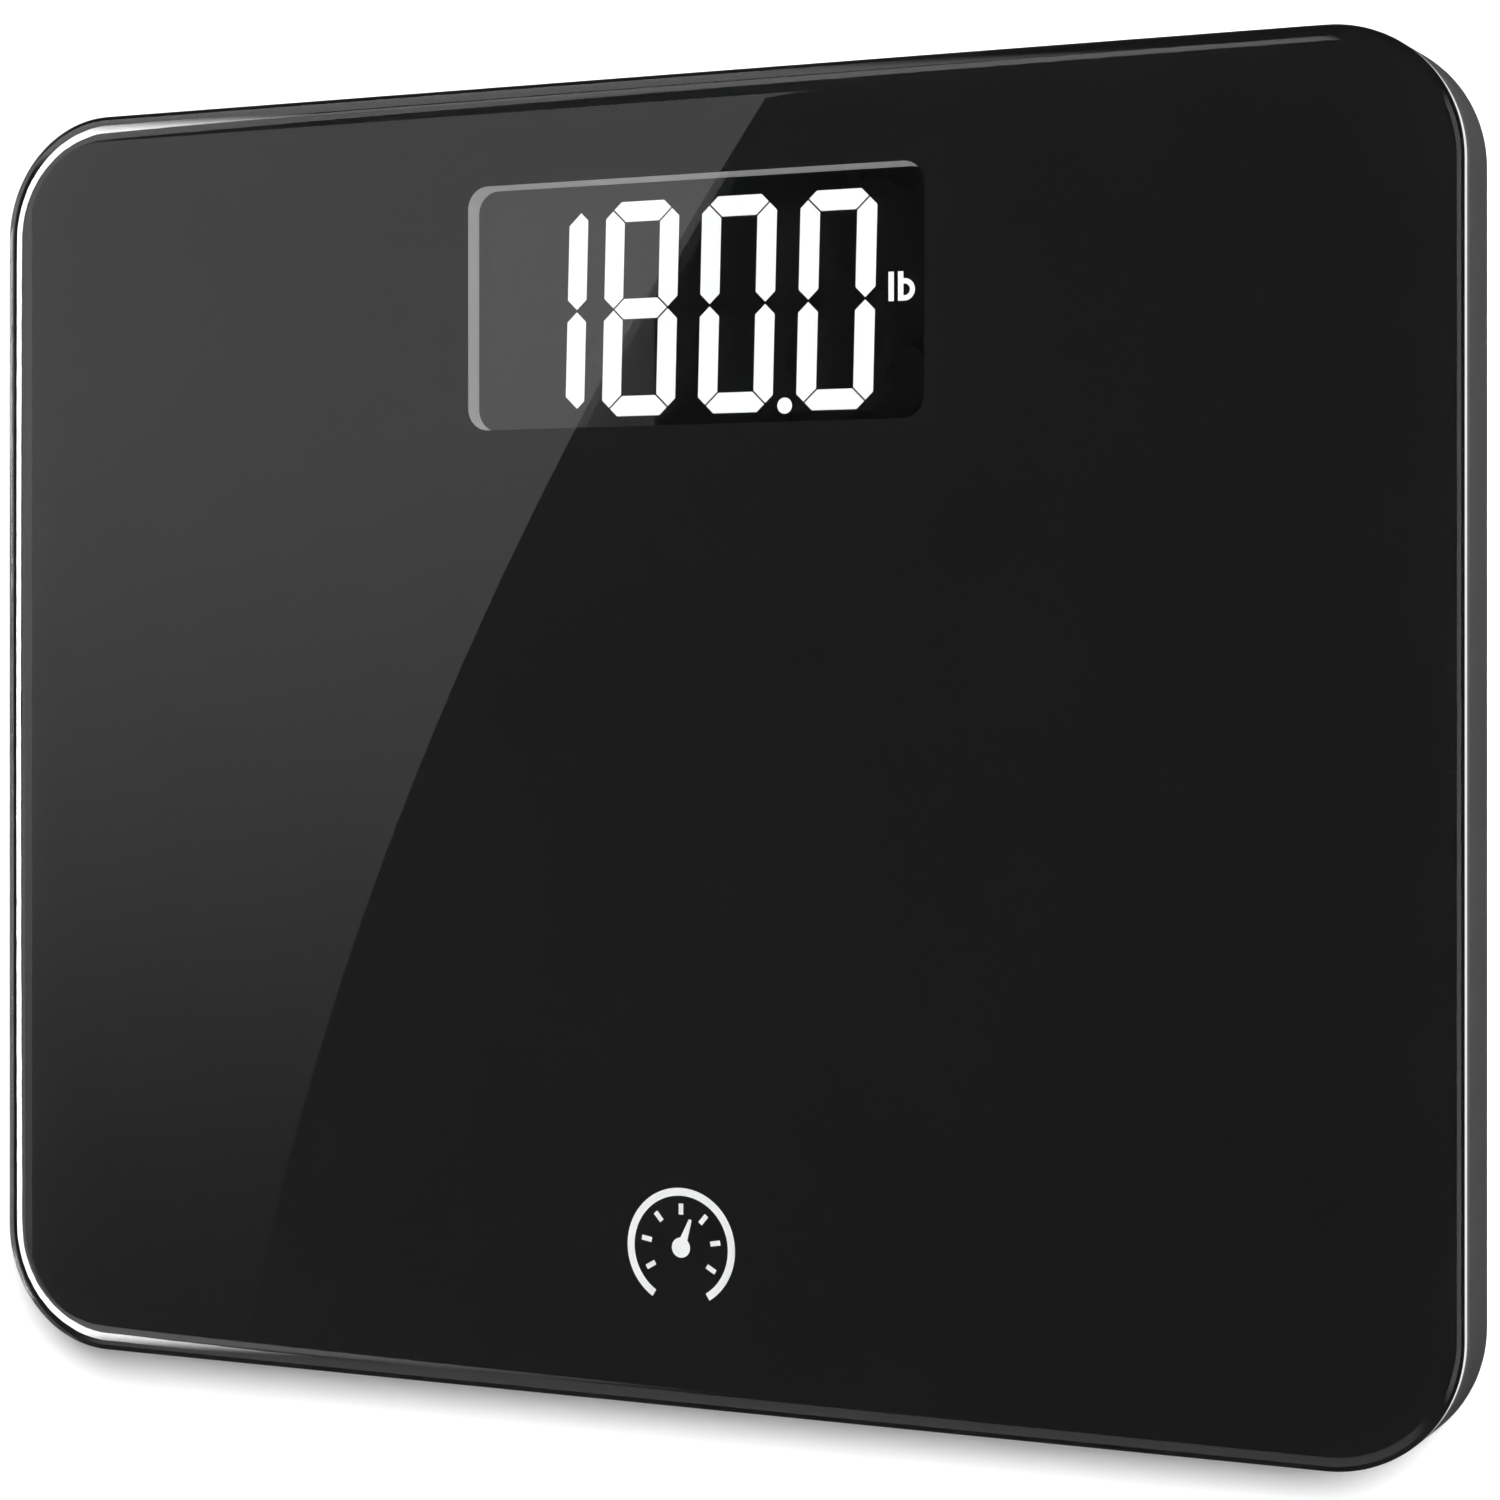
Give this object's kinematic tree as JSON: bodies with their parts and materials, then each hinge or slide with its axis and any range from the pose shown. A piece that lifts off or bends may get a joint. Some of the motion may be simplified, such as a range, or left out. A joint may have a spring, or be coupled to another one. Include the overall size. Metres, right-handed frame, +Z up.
{
  "type": "digital bathroom scale",
  "caption": "Flat rounded glass platform on a shallow dark tray with a backlit digital display, sprung load-cell feet, a battery door and a unit button underneath.",
  "frame": {"origin": "middle of the footprint, on the floor under the feet", "axes": "+Z up out of the glass, +Y from the front edge towards the display edge, +X to the right of a person facing the display"},
  "size_m": [0.35, 0.29, 0.027],
  "materials": {
    "back_print": "opaque black ink seen through glass",
    "battery_jacket": "plain printed jacket",
    "bezel_plastic": "light grey moulding",
    "board_laminate": "green solder mask",
    "button_plastic": "satin moulding",
    "cell_steel": "nickel-plated spring steel",
    "chip_epoxy": "moulded epoxy",
    "clip_plastic": "natural nylon",
    "component_body": "ceramic",
    "contact_metal": "nickel-plated spring steel",
    "door_plastic": "fine-grained moulded ABS",
    "foam_tape": "black double-sided foam tape",
    "foot_plastic": "moulded ABS",
    "foot_rubber": "moulded rubber",
    "frame_plastic": "white reflector moulding",
    "gauge_sealant": "white silicone",
    "guide_acrylic": "clear acrylic",
    "holder_plastic": "white moulded ABS",
    "label_film": "blank silver-grey film",
    "lead_insulation": "thin insulation",
    "led_package": "phosphor-filled package",
    "lit_segments": "evenly lit white",
    "mark_print": "light grey ink",
    "panel_glass": "dark display glass",
    "platform_glass": "polished clear tempered glass",
    "plunger_plastic": "moulded nylon",
    "screw_steel": "zinc-plated steel",
    "switch_metal": "stamped cover",
    "tray_plastic": "fine-grained moulded ABS",
    "wire_insulation": "soft insulation",
    "zebra_rubber": "striped conductive elastomer"
  },
  "bodies": {
    "scale": {"amplifier_chip": "chip_epoxy", "back_print": "back_print", "backlight_leds": "led_package", "base_tray": "tray_plastic", "battery_cell_1": "battery_jacket", "battery_cell_2": "battery_jacket", "battery_cell_3": "battery_jacket", "battery_plates": "contact_metal", "battery_springs": "contact_metal", "battery_wires": "wire_insulation", "board_screws": "screw_steel", "cell_holder_front_left": "holder_plastic", "cell_holder_front_right": "holder_plastic", "cell_holder_rear_left": "holder_plastic", "cell_holder_rear_right": "holder_plastic", "controller_chip": "chip_epoxy", "dial_mark": "mark_print", "display_bezel": "bezel_plastic", "glass_platform": "platform_glass", "holder_pads": "foam_tape", "lcd_digits": "lit_segments", "lcd_frame": "frame_plastic", "lcd_panel": "panel_glass", "lcd_point": "lit_segments", "lcd_unit_sign": "lit_segments", "lead_wires_front_left": "lead_insulation", "lead_wires_front_right": "lead_insulation", "lead_wires_rear_left": "lead_insulation", "lead_wires_rear_right": "lead_insulation", "light_guide": "guide_acrylic", "load_cell_front_left": "cell_steel", "load_cell_front_right": "cell_steel", "load_cell_rear_left": "cell_steel", "load_cell_rear_right": "cell_steel", "main_board": "board_laminate", "perimeter_tape": "foam_tape", "rating_label": "label_film", "small_components": "component_body", "strain_gauge_front_left": "gauge_sealant", "strain_gauge_front_right": "gauge_sealant", "strain_gauge_rear_left": "gauge_sealant", "strain_gauge_rear_right": "gauge_sealant", "switch_body": "switch_metal", "tray_screws": "screw_steel", "wire_clips": "clip_plastic", "zebra_strip": "zebra_rubber"},
    "foot_front_left": {"foot_cup_front_left": "foot_plastic", "foot_pad_front_left": "foot_rubber"},
    "foot_front_right": {"foot_cup_front_right": "foot_plastic", "foot_pad_front_right": "foot_rubber"},
    "foot_rear_left": {"foot_cup_rear_left": "foot_plastic", "foot_pad_rear_left": "foot_rubber"},
    "foot_rear_right": {"foot_cup_rear_right": "foot_plastic", "foot_pad_rear_right": "foot_rubber"},
    "battery_door": {"battery_door": "door_plastic"},
    "unit_button": {"unit_button": "button_plastic"},
    "switch_plunger": {"switch_plunger": "plunger_plastic"}
  },
  "joints": [
    {"name": "foot_press_front_left", "type": "slide", "parent": "scale", "child": "foot_front_left", "axis": [0, 0, 1], "range_m": [0, 0.0006], "stiffness_N_per_m": 2000, "springref_m": -0.004},
    {"name": "foot_press_front_right", "type": "slide", "parent": "scale", "child": "foot_front_right", "axis": [0, 0, 1], "range_m": [0, 0.0006], "stiffness_N_per_m": 2000, "springref_m": -0.004},
    {"name": "foot_press_rear_left", "type": "slide", "parent": "scale", "child": "foot_rear_left", "axis": [0, 0, 1], "range_m": [0, 0.0006], "stiffness_N_per_m": 2000, "springref_m": -0.004},
    {"name": "foot_press_rear_right", "type": "slide", "parent": "scale", "child": "foot_rear_right", "axis": [0, 0, 1], "range_m": [0, 0.0006], "stiffness_N_per_m": 2000, "springref_m": -0.004},
    {"name": "door_hinge", "type": "hinge", "parent": "scale", "child": "battery_door", "pos_m": [0, -0.009, 0.004], "axis": [-1, 0, 0], "range_deg": [0, 80]},
    {"name": "button_press", "type": "slide", "parent": "scale", "child": "unit_button", "axis": [0, 0, 1], "range_m": [0, 0.0005], "stiffness_N_per_m": 200, "springref_m": -0.0015},
    {"name": "plunger_press", "type": "slide", "parent": "scale", "child": "switch_plunger", "axis": [0, 0, 1], "range_m": [0, 0.0005]}
  ],
  "couplings": [
    {"joint": "plunger_press", "follows": "button_press", "ratio": 1}
  ]
}
